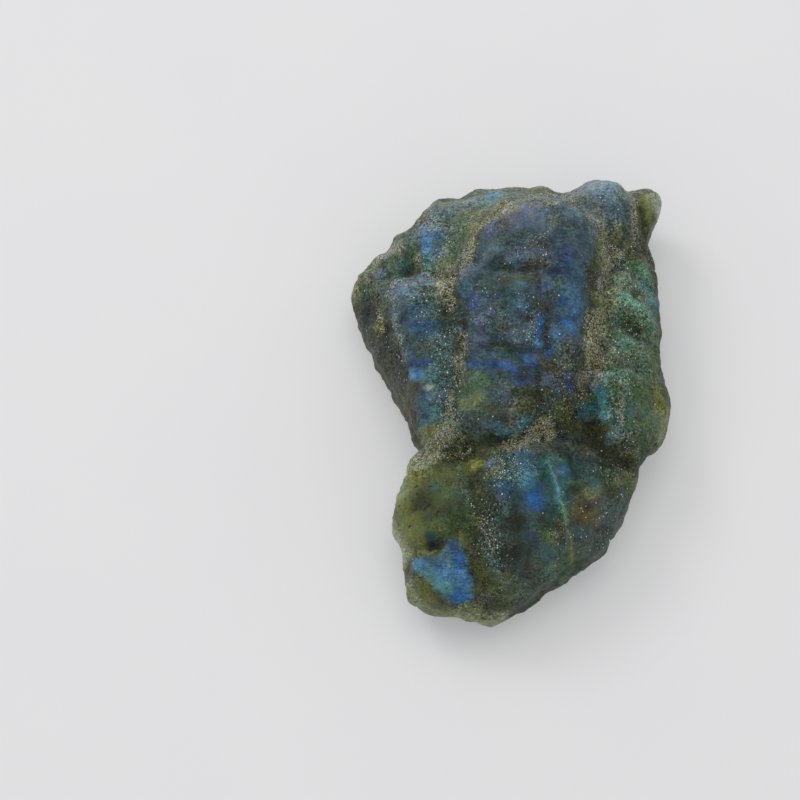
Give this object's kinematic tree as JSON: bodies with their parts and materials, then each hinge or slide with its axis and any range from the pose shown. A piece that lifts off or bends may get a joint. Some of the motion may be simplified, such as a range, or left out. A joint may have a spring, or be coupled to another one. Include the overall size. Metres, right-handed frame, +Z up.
{
  "type": "rough labradorite stone",
  "caption": "Small rough labradorite: a natural stone of dark green and olive feldspar with blue and teal flashes and sandy crushed seams, lying on a flat cleavage face.",
  "frame": {"origin": "under the middle of the stone's box, in the plane of the cleavage face that it rests on", "axes": "+Z up; +Y along the stone's length, towards the end with the two knobs; +X across it, towards the green folded side"},
  "size_m": [0.0348, 0.0498, 0.017],
  "materials": {
    "feldspar": "rough broken labradorite: waxy, faintly translucent olive and grey-green feldspar with blue and teal flashes, dull sandy seams of crushed grains and a few glinting cleavage chips"
  },
  "bodies": {
    "root": {"labradorite_stone": "feldspar"}
  },
  "joints": []
}
